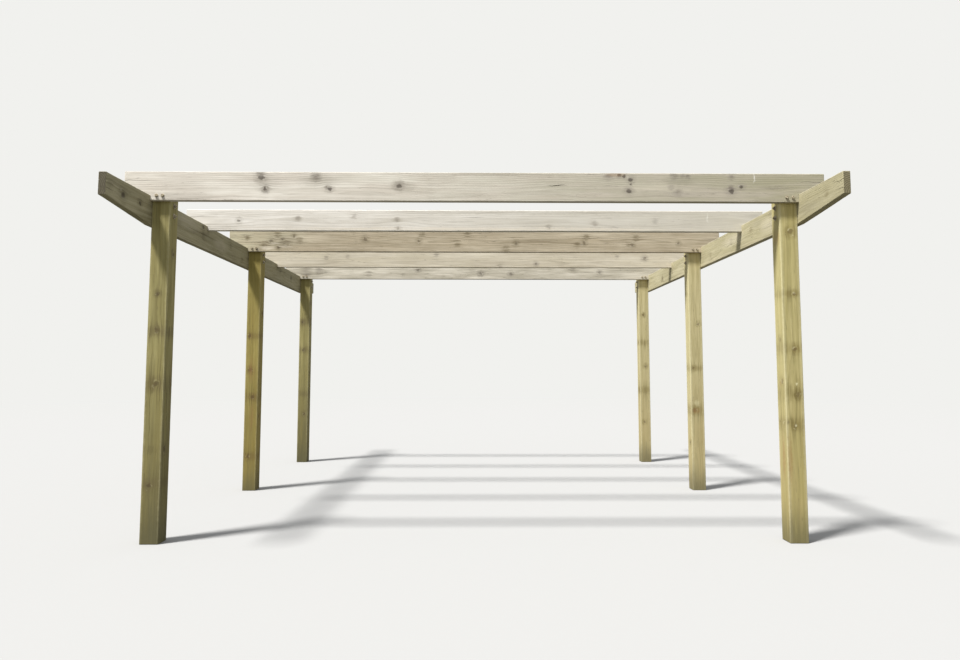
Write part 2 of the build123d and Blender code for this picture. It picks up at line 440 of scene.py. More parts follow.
def galvanised_steel():
    """Hot-dip galvanised steel, weathered: dull zinc with faint spangle and chalky bloom.

    The spangle is 4 mm across. The bloom and a little rust lie in 8 mm patches.
    """
    material = empty_material("weathered_galvanised_steel")
    tree = material.node_tree
    place = node(tree, "TexCoord", output="Object")
    spangle = node(tree, "TexVoronoi", {"Vector": place, "Scale": 260.0}, "Distance")
    bloom = node(tree, "TexNoise", {"Vector": place, "Scale": 120.0, "Detail": 3.0})
    crystal = node(tree, "MapRange", (spangle,))
    chalk = node(tree, "MapRange", (bloom, 0.44, 0.58, 0.0, 0.8))
    rusted = node(tree, "MapRange", (bloom, 0.40, 0.33, 0.0, 0.6))
    layers = [(crystal, rgb("8F846C")), (chalk, rgb("C6BDA6")), (rusted, rgb("6E4F38"))]
    colour = paint_over(tree, rgb("ADA28B"), layers)
    dull = node(tree, "MapRange", (bloom, 0.3, 0.7, 0.52, 0.75))
    bare = node(tree, "MapRange", (chalk, 0.0, 0.8, 0.6, 0.05))
    pitted = node(tree, "Bump", {"Strength": 0.5, "Distance": 0.0003, "Height": bloom})
    finish = {"Base Color": colour, "Metallic": bare, "Roughness": dull, "Normal": pitted}
    shader = node(tree, "BsdfPrincipled", finish)
    node(tree, "OutputMaterial", (shader,), None)
    return material


# Modelling


def only(piece):
    """Leaves one piece selected and active."""
    bpy.ops.object.select_all(action="DESELECT")
    piece.select_set(True)
    bpy.context.view_layer.objects.active = piece


def edit_all(piece):
    """Opens a piece for editing with its whole mesh selected."""
    only(piece)
    bpy.ops.object.mode_set(mode="EDIT")
    bpy.ops.mesh.select_all(action="SELECT")


def settle(name):
    """Names the new primitive and works its place and size into its mesh."""
    piece = bpy.context.object
    piece.name = name
    bpy.ops.object.transform_apply()
    return piece


def cube(name, low, high):
    """Box between two corners, the only thing selected."""
    bpy.ops.object.select_all(action="DESELECT")
    low, high = Vector(low), Vector(high)
    bpy.ops.mesh.primitive_cube_add(size=1, location=(low + high) / 2, scale=high - low)
    return settle(name)


def rod(name, radius, low, high, sides):
    """Round rod or prism between two heights, the only thing selected."""
    bpy.ops.object.select_all(action="DESELECT")
    bpy.ops.mesh.primitive_cylinder_add(
        vertices=sides, radius=radius, depth=high - low, location=(0, 0, (low + high) / 2)
    )
    return settle(name)


def cut_across(piece, grain, number_cuts):
    """Cuts the lengthwise edges of a timber, blade or rod, so that it can change along its length."""
    edit_all(piece)
    bpy.ops.mesh.select_mode(type="EDGE")
    bpy.ops.mesh.select_all(action="DESELECT")
    shape = bmesh.from_edit_mesh(piece.data)
    for edge in shape.edges:
        run = edge.verts[1].co - edge.verts[0].co
        edge.select_set(abs(run[grain]) > 0.9 * run.length)
    shape.select_flush_mode()
    bmesh.update_edit_mesh(piece.data)
    bpy.ops.mesh.subdivide(number_cuts=number_cuts)
    bpy.ops.object.mode_set(mode="OBJECT")


def sawn_timber(name, low, high, grain):
    """Square-edged timber between two corners, its long edges cut so that they can wear unevenly."""
    piece = cube(name, low, high)
    cut_across(piece, grain, round(piece.dimensions[grain] / CUT_SPACING) - 1)
    return piece


def modify(piece, kind, **settings):
    """Adds a modifier and applies it."""
    only(piece)
    modifier = piece.modifiers.new(kind.title(), kind)
    for name, value in settings.items():
        setattr(modifier, name, value)
    bpy.ops.object.modifier_apply(modifier=modifier.name)


def round_edges(piece, width, segments, over, profile=0.5):
    """Rounds the edges that turn by more than an angle in degrees."""
    only_over = {"limit_method": "ANGLE", "angle_limit": math.radians(over)}
    modify(piece, "BEVEL", width=width, segments=segments, profile=profile, **only_over)


def combine(piece, tool, operation="DIFFERENCE"):
    """Cuts a tool out of a piece, or keeps only what lies in both, and removes the tool."""
    modify(piece, "BOOLEAN", operation=operation, solver="EXACT", object=tool)
    bpy.data.objects.remove(tool, do_unlink=True)


def saw(piece, point, away):
    """Saws off what lies beyond a plane and closes the cut."""
    edit_all(piece)
    bpy.ops.mesh.bisect(plane_co=point, plane_no=away, use_fill=True, clear_outer=True)
    bpy.ops.object.mode_set(mode="OBJECT")


def ease_arrises(piece, seed):
    """Rounds the sawn edges by 3.5 mm and wears them back unevenly by up to 2.6 mm more.

    The wear changes every 110 mm or so, with a ripple of 30 mm. Only what the rounding turned
    away from the six faces wears.
    """
    round_edges(piece, ARRIS_WIDTH, 3, 40, profile=0.55)
    shape = bmesh.new()
    shape.from_mesh(piece.data)
    shape.normal_update()
    for vertex in shape.verts:
        square_on = max(abs(part) for part in vertex.normal)
        if square_on < 0.93:
            coarse = noise.noise(vertex.co * 9 + Vector((seed, 0, 0)))
            finer = noise.noise(vertex.co * 31 + Vector((0, seed, 0)))
            wear = max(0.0, 0.35 + 0.8 * coarse + 0.5 * finer)
            vertex.co -= vertex.normal * ARRIS_WEAR * min(wear, 1.0)
    shape.to_mesh(piece.data)
    shape.free()


def check_blade(grain, out, middle, length, width, depth, seed):
    """Wandering wedge in the shape of a drying check, widest halfway and closed at both ends.

    grain runs along the check, and out points out of the face it opens on.
    """
    blade = rod("check_blade", 1, -1, 1, 3)
    cut_across(blade, Z, max(6, round(length / CUT_SPACING)))
    for vertex in blade.data.vertices:
        spot = vertex.co.z * length
        share = max(0.02, 1 - abs(vertex.co.z)) ** 0.6
        sway = noise.noise(Vector((seed, 3.1, spot * 6)))
        jog = noise.noise(Vector((seed, 8.7, spot * 30)))
        inward = vertex.co.y > 0.5
        vertex.co.x = 0.0 if inward else math.copysign(width / 2 * share, vertex.co.x)
        vertex.co.x += BLADE_SWAY * sway + BLADE_JOG * jog
        vertex.co.y = -depth * share if inward else BLADE_PROUD
        vertex.co.z *= length / 2
    turn = Matrix((out.cross(grain), out, grain)).transposed().to_4x4()
    blade.matrix_world = Matrix.Translation(middle) @ turn
    only(blade)
    bpy.ops.object.transform_apply()
    edit_all(blade)
    bpy.ops.mesh.normals_make_consistent()
    bpy.ops.object.mode_set(mode="OBJECT")
    return blade


def axis_vector(axis, sign=1):
    """Unit vector along an axis."""
    way = Vector((0, 0, 0))
    way[axis] = sign
    return way


def open_checks(piece, grain, checks, seed):
    """Cuts drying checks into a timber.

    Each is (face axis, face sign, along, across, length, width, depth).
    """
    low, high = (Vector(corner) for corner in (piece.bound_box[0], piece.bound_box[6]))
    for number, (face, sign, along, across, length, width, depth) in enumerate(checks):
        middle = (low + high) / 2
        middle[face] = high[face] if sign > 0 else low[face]
        middle[grain] = along
        middle[3 - grain - face] += across
        out = axis_vector(face, sign)
        own_seed = seed + 1.7 * number
        blade = check_blade(axis_vector(grain), out, middle, length, width, depth, own_seed)
        combine(piece, blade)


def end_splits(draw, ends, face, lower, upper, lengths):
    """Two splits that run in from each end of a board, on both faces.

    lower and upper are the ranges of their places across the board, and lengths that of their lengths.
    """
    splits = []
    for end in ends:
        for across in (draw.uniform(*lower), draw.uniform(*upper)):
            length = draw.uniform(*lengths)
            splits.append((face, -1, end, across, length, END_SPLIT_WIDTH, END_SPLIT_DEPTH))
            across += BACK_SPLIT_SHIFT
            length *= BACK_SPLIT_SHARE
            splits.append((face, 1, end, across, length, END_SPLIT_WIDTH, BACK_SPLIT_DEPTH))
    return splits


def open_heart(piece, heart, draw, seed):
    """Cuts short drying checks into a post's top, fanning out from the heart of the tree."""
    for number in range(HEART_CHECKS):
        angle = 1.6 * number + draw.uniform(-0.5, 0.5)
        way = Vector((math.cos(angle), math.sin(angle), 0))
        length = draw.uniform(0.035, 0.055)
        middle = heart + way * length * 0.6
        blade = check_blade(
            way, axis_vector(Z), middle, length, HEART_CHECK_WIDTH, HEART_CHECK_DEPTH, seed + number
        )
        combine(piece, blade)


def finish_mesh(piece):
    """Merges doubles, points the faces outwards and smooths all but the sharp edges."""
    edit_all(piece)
    bpy.ops.mesh.remove_doubles(threshold=MERGE_DISTANCE)
    bpy.ops.mesh.normals_make_consistent()
    bpy.ops.object.mode_set(mode="OBJECT")
    bpy.ops.object.shade_smooth_by_angle(angle=math.radians(35))
    modify(piece, "WEIGHTED_NORMAL", mode="FACE_AREA", weight=90, keep_sharp=True)


def put_in_place(piece, node_name, material):
    """Gives a finished piece its material and puts it in the place of its CAD node."""
    piece.data.materials.clear()
    piece.data.materials.append(material)
    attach(piece, "root")
    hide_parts(node_name)


def finish_timber(piece, node_name, axes, spec, pith, seed, foot=False):
    """Finishes a timber with pine of its own grain; axes are its length, thickness and width."""
    finish_mesh(piece)
    put_in_place(piece, node_name, weathered_pine(node_name, axes, spec, pith, seed, foot))


# Colours of the weathered pine


def pine_look(**changes):
    """Colours and strengths of weathered pine; the silver grey of the front crossbeam unless changed."""
    look = {
        "pale": "F0EAE0", "shade": "CCC5B8", "late": "ACA496", "tint": "DAD4C8", "rubbed": "DDD6C9",
        "dark": "453D33", "smudge": "857C72", "knot": "6A5F56", "knot_heart": "3A332D", "top": "716E63",
        "lichen": "A4A792", "end": "867A64", "foot": "5C5940", "drift": "A8A280",
        "drift_over": (-1.0, 2.6, 0.0), "ring_width": 0.012, "rings": 0.35, "tinted": 0.55,
        "hairline": 0.6, "smudged": 0.75, "halo": 0.50, "knotted": 0.85, "rub": 0.30, "rub_width": 0.010,
        "cloud": (1.9, 14, 14), "streak_range": 0.13,
    }
    look.update(changes)
    return look


# What the looks of all posts share
POST_GRAIN = dict(rings=0.3, hairline=0.38, cloud=(1.6, 22, 22), streak_range=0.16)

# Front crossbeam: darker and yellower towards the right end, partly weathering, partly painted shade
SILVER = pine_look(
    pale="FDF8EE", shade="DAD3C6", late="B6AEA0", tint="D3C8BB", drift="9D987A",
    drift_over=(-1.7, 2.4, 0.9), hairline=0.28, smudged=0.9, knotted=0.8, tinted=0.5,
)
# Second crossbeam: duller towards the right end, partly weathering, partly painted shade
BRIGHT_SILVER = pine_look(
    pale="FFFBF5", shade="E4DED4", late="BDB6A9", tint="D8D2C7", drift="A39E84",
    drift_over=(-2.2, 2.6, 0.5), knot="776D60", knot_heart="4A4238", smudged=0.6, knotted=0.65,
    hairline=0.25, rubbed="EFE9DD", rub=0.45,
)
# Middle crossbeam: a warmer tan, and darker than its neighbours as painted shade
TAN = pine_look(
    pale="DDD1BA", shade="A1947B", late="7E7159", tint="BDAE94", drift="DAD6B8",
    drift_over=(-1.5, -2.1, 0.65), smudge="7B6F55", knot="6C5A3F", knot_heart="40341F", rings=0.5,
    hairline=0.5, tinted=0.6, smudged=0.85, knotted=0.55,
)
CREAM = pine_look(
    pale="EAE2D0", shade="C4BAA6", late="A39985", tint="D6CCB4", knot="7A6C56", hairline=0.4, smudged=0.6,
    knotted=0.5,
)
MOTTLED = pine_look(
    pale="F1EADB", shade="C2BBAA", late="968E7D", tint="B1AA97", knot="6E6353", tinted=0.7, hairline=0.55,
    smudged=0.65, knotted=0.5,
)
BEAM_STRAW = pine_look(
    pale="D3CBAC", shade="A69E7A", late="898060", tint="BBB38E", smudge="867A5B", knot="75673F",
    knot_heart="493D26", end="7A7152", drift="979073", drift_over=(-1.9, -2.3, 0.45), knotted=0.6,
    smudged=0.55,
)
# Left side beam: a darker, greyer copy of the beam colours as painted shade, its end grain darkened as
# painted shade too
BEAM_SHADED_GREY = pine_look(
    pale="B9B293", shade="8A8364", late="6D674B", tint="9D9675", smudge="625A42", knot="5C5138",
    knot_heart="352D1F", end="3E372A", smudged=0.55,
)
POST_KHAKI = pine_look(
    **POST_GRAIN, pale="D6CA92", shade="A1955F", late="857A4B", tint="B4A96B", rubbed="E0D9B2",
    smudge="83733F", knot="8A7448", knot_heart="56452B", end="7E7450", drift="A8915C",
    drift_over=(1.4, 0.3, 0.45), smudged=0.55, halo=0.6, knotted=0.62, rub=0.5, rub_width=0.024,
)
POST_STRAW = dict(POST_KHAKI, pale="DDD2A4", shade="AEA171", late="8C8157", tint="C0B485")
# Left posts: a darker, greener copy of the post colours, partly painted shade, and darker still towards
# the foot as painted shade
POST_SHADED_OLIVE = pine_look(
    **POST_GRAIN, pale="B5AC76", shade="837A4A", late="6A613A", tint="958A53", rubbed="C6BE94",
    smudge="6C6040", knot="6E5D3B", knot_heart="453824", end="706844", drift="5F5838",
    drift_over=(1.5, 0.2, 0.78), smudged=0.55, halo=0.65, knotted=0.7, rub=0.42, rub_width=0.018,
)
POST_OCHRE = pine_look(
    **POST_GRAIN, pale="B5A662", shade="82763C", late="685D31", tint="978543", rubbed="CBC08E",
    smudge="745F36", knot="785A36", knot_heart="4A3722", end="746944", drift="857547",
    drift_over=(1.6, 0.2, 0.4), smudged=0.5, halo=0.6, knotted=0.65, rub=0.42, rub_width=0.018,
)

# Colours of the marks that rain, birds, resin and rust have left, and of painted highlights
MARK_COLOURS = {
    "dropping": "F6F4EE", "resin": "A5835A", "run": "6F6757", "grime": "847D6E", "bark": "4A4030",
    "cream": "F1E7D5", "straw": "E8E1B4", "rust": "A07A4C", "moss": "75693C",
}


# Crossbeams and side beams: knots and smudges as (along, height, radius), marks as (colour, along,
# height, half length, half height, strength), and checks as open_checks takes them


def through(*places):
    """Knots that run through the thickness of a board."""
    return [("thin", *place) for place in places]


def marks_on(way, sign, *marks):
    """Marks on one of the faces that look across the thickness or the width of a timber."""
    return [(way, sign, *mark) for mark in marks]


CROSSBEAMS = {
    "front_crossbeam": {
        "look": SILVER, "pith": (0.055, -0.025),
        "knots": through(
            (-1.469, 2.457, 0.016), (-1.442, 2.383, 0.012), (-1.002, 2.379, 0.011),
            (-0.528, 2.406, 0.014), (0.985, 2.486, 0.01), (1.015, 2.48, 0.009), (1.06, 2.455, 0.012),
            (1.063, 2.422, 0.005), (1.048, 2.377, 0.013), (1.826, 2.406, 0.01), (1.754, 2.375, 0.014),
        ),
        "smudges": through(
            (-1.479, 2.493, 0.018), (-1.435, 2.38, 0.018), (-1.095, 2.469, 0.024), (-1.02, 2.392, 0.012),
            (0.91, 2.48, 0.022), (1.363, 2.478, 0.018), (1.34, 2.4, 0.016), (1.385, 2.371, 0.02),
            (1.422, 2.488, 0.014), (1.457, 2.475, 0.01), (1.757, 2.476, 0.016), (1.752, 2.4, 0.014),
        ),
        "checks": [(Y, -1, 0.55, 0.012, 0.15, 0.0075, 0.018)],
        "marks": marks_on("thin", -1,
            ("dropping", 1.915, 2.472, 0.006, 0.032, 0.85), ("resin", 0.957, 2.49, 0.06, 0.018, 0.45),
            ("run", -2.1785, 2.315, 0.006, 0.016, 0.35), ("run", -2.1365, 2.315, 0.006, 0.016, 0.35),
            ("run", 2.1785, 2.315, 0.006, 0.016, 0.35), ("run", 2.1365, 2.315, 0.006, 0.016, 0.35),
            ("grime", 1.4, 2.44, 0.11, 0.045, 0.35), ("grime", -1.08, 2.44, 0.13, 0.04, 0.28),
            ("grime", -1.44, 2.425, 0.1, 0.055, 0.25), ("grime", -0.5, 2.4, 0.09, 0.04, 0.3),
            ("grime", 0.1, 2.49, 0.45, 0.016, 0.35), ("grime", 2.08, 2.4, 0.12, 0.012, 0.5),
            ("grime", -1.98, 2.325, 0.19, 0.026, 0.35), ("cream", 1.25, 2.4, 0.22, 0.03, 0.35),
        ),
    },
    "front_bay_crossbeam": {
        "look": BRIGHT_SILVER, "pith": (0.06, 0.02),
        "knots": through((-1.963, 2.385, 0.01), (-0.643, 2.319, 0.01)),
        "smudges": through(
            (-1.478, 2.407, 0.014), (-1.011, 2.424, 0.013), (-0.653, 2.398, 0.014), (0.61, 2.334, 0.015),
            (0.995, 2.365, 0.016), (1.497, 2.387, 0.016),
        ),
        "checks": [(Y, -1, -0.014, 0.03, 0.2, 0.003, 0.012)],
        "marks": marks_on("thin", -1,
            # The long cream strip along the lower edge is a painted highlight
            ("dropping", 1.936, 2.419, 0.006, 0.035, 0.6), ("cream", 0.0, 2.318, 2.1, 0.014, 0.6),
            ("grime", 0.5, 2.455, 1.2, 0.012, 0.25),
        ),
    },
    "middle_crossbeam": {
        "look": TAN, "pith": (0.045, 0.03),
        "knots": through(
            (-1.995, 2.404, 0.014), (-1.885, 2.42, 0.01), (-1.772, 2.454, 0.012), (-1.925, 2.34, 0.012),
            (-2.115, 2.316, 0.008), (-1.077, 2.425, 0.014), (-0.552, 2.406, 0.012), (0.399, 2.383, 0.013),
            (1.064, 2.396, 0.014), (1.541, 2.372, 0.013), (1.997, 2.391, 0.01),
        ),
        "smudges": through(
            (-2.225, 2.43, 0.016), (-2.06, 2.362, 0.026), (-1.85, 2.37, 0.03), (-1.93, 2.47, 0.022),
            (-1.715, 2.41, 0.02), (-0.52, 2.47, 0.016), (-0.076, 2.481, 0.022), (-0.173, 2.382, 0.02),
            (0.301, 2.33, 0.022), (1.09, 2.45, 0.018), (1.0, 2.38, 0.018), (1.58, 2.44, 0.02),
            (1.5, 2.38, 0.016),
        ),
        "checks": [(Y, -1, 1.25, 0.04, 0.5, 0.0035, 0.015)],
        "marks": marks_on("thin", -1,
            ("bark", -1.995, 2.404, 0.05, 0.008, 0.75), ("bark", -2.147, 2.393, 0.06, 0.005, 0.6),
            ("bark", -2.24, 2.452, 0.05, 0.007, 0.4), ("bark", -1.64, 2.492, 0.2, 0.006, 0.4),
            ("bark", -1.88, 2.422, 0.025, 0.006, 0.6), ("bark", -1.915, 2.338, 0.03, 0.006, 0.55),
            ("cream", -2.03, 2.335, 0.07, 0.018, 0.75), ("cream", -1.96, 2.38, 0.045, 0.01, 0.7),
            ("cream", -1.85, 2.35, 0.06, 0.014, 0.6), ("grime", -1.88, 2.4, 0.16, 0.06, 0.4),
        ),
    },
    "rear_bay_crossbeam": {
        "look": CREAM, "pith": (0.06, -0.015),
        "knots": through((0.689, 2.343, 0.011), (1.916, 2.408, 0.014)),
        "smudges": through(
            (-1.673, 2.403, 0.016), (-1.432, 2.418, 0.013), (-0.436, 2.44, 0.018), (0.281, 2.312, 0.016),
            (1.606, 2.429, 0.014),
        ),
        "checks": [(Y, 1, -0.7, 0.02, 0.45, 0.0035, 0.015)],
    },
    "rear_crossbeam": {
        "look": MOTTLED, "pith": (-0.055, 0.02),
        "knots": through(
            (-0.722, 2.418, 0.014), (0.078, 2.371, 0.016), (0.459, 2.372, 0.014), (1.593, 2.389, 0.013),
        ),
        "smudges": through(
            (-2.141, 2.388, 0.04), (-1.98, 2.4, 0.03), (-1.346, 2.369, 0.022), (1.25, 2.44, 0.02),
        ),
        "checks": [(Y, 1, 0.9, -0.035, 0.6, 0.004, 0.016)],
    },
}


def make_crossbeam(name, spec, number):
    """Crossbeam: sawn board with split ends, notched to drop over both side beams."""
    low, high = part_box(name)
    piece = sawn_timber(name.replace("_crossbeam", "_top_board"), low, high, X)
    ease_arrises(piece, 11.0 + number)
    for side in SIDES:
        beam_low, beam_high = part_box(f"{side}_side_beam")
        notch = cube(
            "notch",
            (beam_low.x - NOTCH_CLEARANCE, low.y - CUTTER_ROOM, low.z - 2 * CUTTER_ROOM),
            (beam_high.x + NOTCH_CLEARANCE, high.y + CUTTER_ROOM, beam_high.z),
        )
        combine(piece, notch)
    draw = random.Random(100 + number)
    splits = end_splits(draw, (low.x, high.x), Y, (-0.06, -0.02), (0.02, 0.06), (0.25, 0.55))
    open_checks(piece, X, spec["checks"] + splits, 20.0 + 3 * number)
    finish_timber(piece, name, (X, Y, Z), spec, spec["pith"], 1.0 + number)


SIDE_BEAMS = {
    "left_side_beam": {
        "look": BEAM_SHADED_GREY, "pith": (-0.06, 0.02),
        "knots": through(
            (-2.495, 2.244, 0.018), (-2.273, 2.247, 0.012), (-1.205, 2.306, 0.012), (0.43, 2.215, 0.013),
            (0.48, 2.3, 0.01), (1.52, 2.25, 0.015), (2.42, 2.27, 0.012),
        ),
        "smudges": through(
            (-2.65, 2.25, 0.02), (-1.195, 2.24, 0.02), (-0.56, 2.26, 0.018), (-0.25, 2.19, 0.018),
            (1.05, 2.28, 0.02),
        ),
        "checks": [(X, 1, -1.25, 0.015, 0.6, 0.004, 0.016), (X, -1, 1.1, 0.03, 0.7, 0.004, 0.016)],
        "marks": marks_on("thin", 1,
            ("cream", -1.48, 2.28, 0.22, 0.05, 0.22), ("cream", -0.8, 2.23, 0.16, 0.05, 0.22),
            ("grime", -1.15, 2.29, 0.08, 0.05, 0.25), ("bark", -2.56, 2.29, 0.15, 0.014, 0.3),
        ),
    },
    "right_side_beam": {
        "look": BEAM_STRAW, "pith": (0.06, -0.02),
        "knots": through(
            (-1.72, 2.23, 0.012), (0.25, 2.29, 0.013), (1.31, 2.23, 0.014), (2.38, 2.29, 0.011),
        ),
        "smudges": through(
            (-2.5, 2.27, 0.016), (-1.69, 2.31, 0.014), (-1.3, 2.28, 0.018), (-0.88, 2.26, 0.016),
            (-0.35, 2.22, 0.016), (0.9, 2.25, 0.02),
        ),
        "checks": [(X, -1, -0.9, -0.02, 0.5, 0.0035, 0.015), (X, 1, -1.4, 0.025, 0.8, 0.004, 0.016)],
        "marks": marks_on("thin", -1,
            ("cream", -1.64, 2.25, 0.16, 0.06, 0.3), ("cream", -0.9, 2.27, 0.22, 0.04, 0.35),
            ("grime", -2.25, 2.24, 0.16, 0.04, 0.25), ("grime", -1.42, 2.3, 0.09, 0.03, 0.25),
        ),
    },
}


def make_side_beam(name, spec, number):
    """Side beam: sawn board with both tails tapered on the underside and split ends."""
    low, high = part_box(name)
    piece = sawn_timber(name.replace("_side_beam", "_bearer"), low, high, Y)
    top = max(corner[Z] for corner in piece.bound_box)
    run = cad_box[1][Y] - TAIL_START
    rise = SIDE_BEAM_DEPTH - TAIL_TIP_DEPTH
    for way in (-1, 1):
        saw(piece, (0, way * TAIL_START, top - SIDE_BEAM_DEPTH), (0, way * rise, -run))
    ease_arrises(piece, 31.0 + number)
    draw = random.Random(200 + number)
    splits = end_splits(draw, (low.y, high.y), X, (0.0, 0.02), (0.045, 0.07), (0.2, 0.5))
    open_checks(piece, Y, spec["checks"] + splits, 40.0 + 3 * number)
    finish_timber(piece, name, (Y, X, Z), spec, spec["pith"], 11.0 + number)


# Posts: knots and smudges as (way through, height, across, radius), marks as (colour, height,
# across, half height, half width, strength)

POSTS = {
    "front_left_post": {
        "look": POST_SHADED_OLIVE,
        "knots": [
            ("thin", 1.663, -2.158, 0.01), ("thin", 1.418, -2.156, 0.013), ("thin", 1.055, -2.152, 0.015),
            ("wide", 1.95, -2.03, 0.012), ("wide", 0.62, -2.06, 0.014), ("thin", 0.38, -2.17, 0.012),
        ],
        "smudges": [("band", 1.05, 0, 0.038), ("band", 1.405, 0, 0.022), ("band", 0.4, 0, 0.022)],
        "marks": marks_on("thin", -1,
            ("moss", 1.05, -2.185, 0.06, 0.03, 0.45), ("moss", 1.405, -2.15, 0.03, 0.02, 0.45),
        ),
    },
    "front_right_post": {
        "look": POST_KHAKI,
        "knots": [
            ("thin", 2.104, 2.166, 0.016), ("thin", 1.671, 2.178, 0.01), ("thin", 1.291, 2.168, 0.012),
            ("thin", 0.985, 2.18, 0.013), ("thin", 0.775, 2.155, 0.009), ("thin", 0.801, 2.108, 0.008),
            ("wide", 1.073, -2.058, 0.014), ("wide", 1.361, -2.049, 0.011),
        ],
        "smudges": [
            ("band", 1.3, 0, 0.026), ("band", 0.99, 0, 0.036), ("band", 0.785, 0, 0.03),
            ("band", 1.671, 0, 0.016),
        ],
        "marks": marks_on("thin", -1,
            ("moss", 0.985, 2.175, 0.045, 0.034, 0.6), ("moss", 1.01, 2.125, 0.05, 0.026, 0.4),
            ("moss", 0.8, 2.12, 0.03, 0.026, 0.45), ("straw", 1.056, 2.172, 0.014, 0.009, 0.9),
            ("straw", 0.778, 2.16, 0.01, 0.007, 0.95), ("rust", 0.56, 2.112, 0.16, 0.014, 0.6),
        ) + marks_on("wide", -1,
            # The long straw patch pales the inner side: partly sun-bleaching, partly painted light
            ("straw", 1.3, -2.04, 0.9, 0.11, 0.18), ("rust", 2.07, -2.04, 0.06, 0.05, 0.5),
            ("rust", 0.56, -2.05, 0.14, 0.018, 0.75), ("rust", 1.062, -2.035, 0.024, 0.012, 0.6),
            ("bark", 0.48, -2.03, 0.04, 0.004, 0.6),
        ),
    },
    "middle_left_post": {
        "look": POST_OCHRE,
        "knots": [
            ("thin", 1.477, -2.19, 0.012), ("thin", 1.148, -2.174, 0.014), ("thin", 0.889, -2.148, 0.012),
            ("thin", 0.322, -2.176, 0.012), ("wide", 1.7, 0.02, 0.013), ("wide", 0.7, -0.02, 0.012),
        ],
        "smudges": [("band", 1.477, 0, 0.018), ("band", 0.889, 0, 0.024), ("band", 0.322, 0, 0.026)],
        "marks": marks_on("thin", -1,
            ("rust", 1.15, -2.16, 0.12, 0.03, 0.35), ("rust", 0.7, -2.15, 0.14, 0.024, 0.3),
        ),
    },
    "middle_right_post": {
        "look": POST_STRAW,
        "knots": [
            ("thin", 0.763, 2.126, 0.017), ("thin", 1.168, 2.125, 0.012), ("thin", 1.6, 2.18, 0.01),
            ("wide", 1.9, 0.015, 0.012), ("wide", 0.45, -0.015, 0.013),
        ],
        "smudges": [("band", 0.763, 0, 0.034), ("band", 1.168, 0, 0.018)],
        # The long straw patch pales the inner side: partly sun-bleaching, partly painted light
        "marks": marks_on("wide", -1, ("straw", 1.3, 0.0, 0.9, 0.11, 0.25)) + marks_on("thin", -1,
            ("rust", 0.755, 2.14, 0.028, 0.04, 0.55), ("straw", 0.83, 2.15, 0.03, 0.026, 0.5),
        ),
    },
    "rear_left_post": {
        "look": POST_SHADED_OLIVE,
        "knots": [
            ("thin", 1.754, -2.18, 0.013), ("thin", 1.4, -2.17, 0.012), ("thin", 0.6, -2.14, 0.013),
            ("wide", 1.1, 2.05, 0.014), ("wide", 2.0, 2.03, 0.012),
        ],
        "smudges": [("band", 1.754, 0, 0.03), ("band", 1.4, 0, 0.026), ("band", 0.85, 0, 0.022)],
    },
    "rear_right_post": {
        "look": POST_STRAW,
        "knots": [
            ("thin", 1.85, 2.15, 0.012), ("thin", 1.2, 2.17, 0.013), ("thin", 0.5, 2.14, 0.012),
            ("wide", 1.5, 2.05, 0.013), ("wide", 0.9, 2.03, 0.012),
        ],
        "smudges": [("band", 1.5, 0, 0.022), ("band", 0.9, 0, 0.028)],
    },
}


def make_post(name, spec, number):
    """Post: boxed-heart square timber with long drying checks, checked at the top for its crossbeam."""
    low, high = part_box(name)
    piece = sawn_timber(name.replace("_post", "_upright"), low, high, Z)
    ease_arrises(piece, 51.0 + number)
    seat = cube(
        "crossbeam_seat",
        (low.x - CUTTER_ROOM, low.y - CUTTER_ROOM, CROSSBEAM_UNDERSIDE),
        (high.x + CUTTER_ROOM, low.y + CHECK_DEPTH, high.z + CUTTER_ROOM),
    )
    combine(piece, seat)
    draw = random.Random(300 + number)
    checks = []
    for face, sign in ((Y, -1), (X, -1), (X, 1), (Y, 1)):
        width = FRONT_CHECK_WIDTH if (face, sign) == (Y, -1) else CHECK_WIDTH
        length = draw.uniform(0.5, 1.1)
        height = draw.uniform(0.1 + length / 2, 2.0 - length / 2)
        across = draw.uniform(-0.025, 0.025)
        checks.append((face, sign, height, across, length, width, POST_CHECK_DEPTH))
    across = draw.uniform(-0.02, 0.02)
    checks.append((Y, 1, high.z, across, TOP_SPLIT_LENGTH, CHECK_WIDTH, TOP_SPLIT_DEPTH))
    open_checks(piece, Z, checks, 60.0 + 3 * number)
    pith = (draw.uniform(-0.02, 0.02), draw.uniform(-0.02, 0.02))
    centre = (low + high) / 2
    heart = Vector((centre.x + pith[1], centre.y + pith[0], high.z))
    open_heart(piece, heart, draw, 80.0 + number)
    finish_timber(piece, name, (Z, Y, X), spec, pith, 21.0 + number, foot=True)


# Fixings, modelled standing on z = 0 and then copied to their seats


def join(pieces, name):
    """Joins pieces into one mesh."""
    only(pieces[0])
    for piece in pieces:
        piece.select_set(True)
    bpy.ops.object.join()
    joined = bpy.context.object
    joined.name = name
    return joined


def drum(name, radius, low, high, sides, rim):
    """Round or six-sided disc between two heights, its edges eased by rim."""
    piece = rod(name, radius, low, high, sides)
    round_edges(piece, rim, 2, 70)
    return piece


def threaded_rod(name, radius, low, high, pitch):
    """Rod between two heights with thread ridges."""
    piece = rod(name, radius, low, high, 24)
    turns = round((high - low) / pitch)
    cut_across(piece, Z, 2 * turns - 1)
    step = (high - low) / (2 * turns)
    for vertex in piece.data.vertices:
        level = round((vertex.co.z - low) / step)
        shrink = 0.0 if level % 2 else pitch * 0.5
        vertex.co.x *= 1 - shrink / radius
        vertex.co.y *= 1 - shrink / radius
    return piece


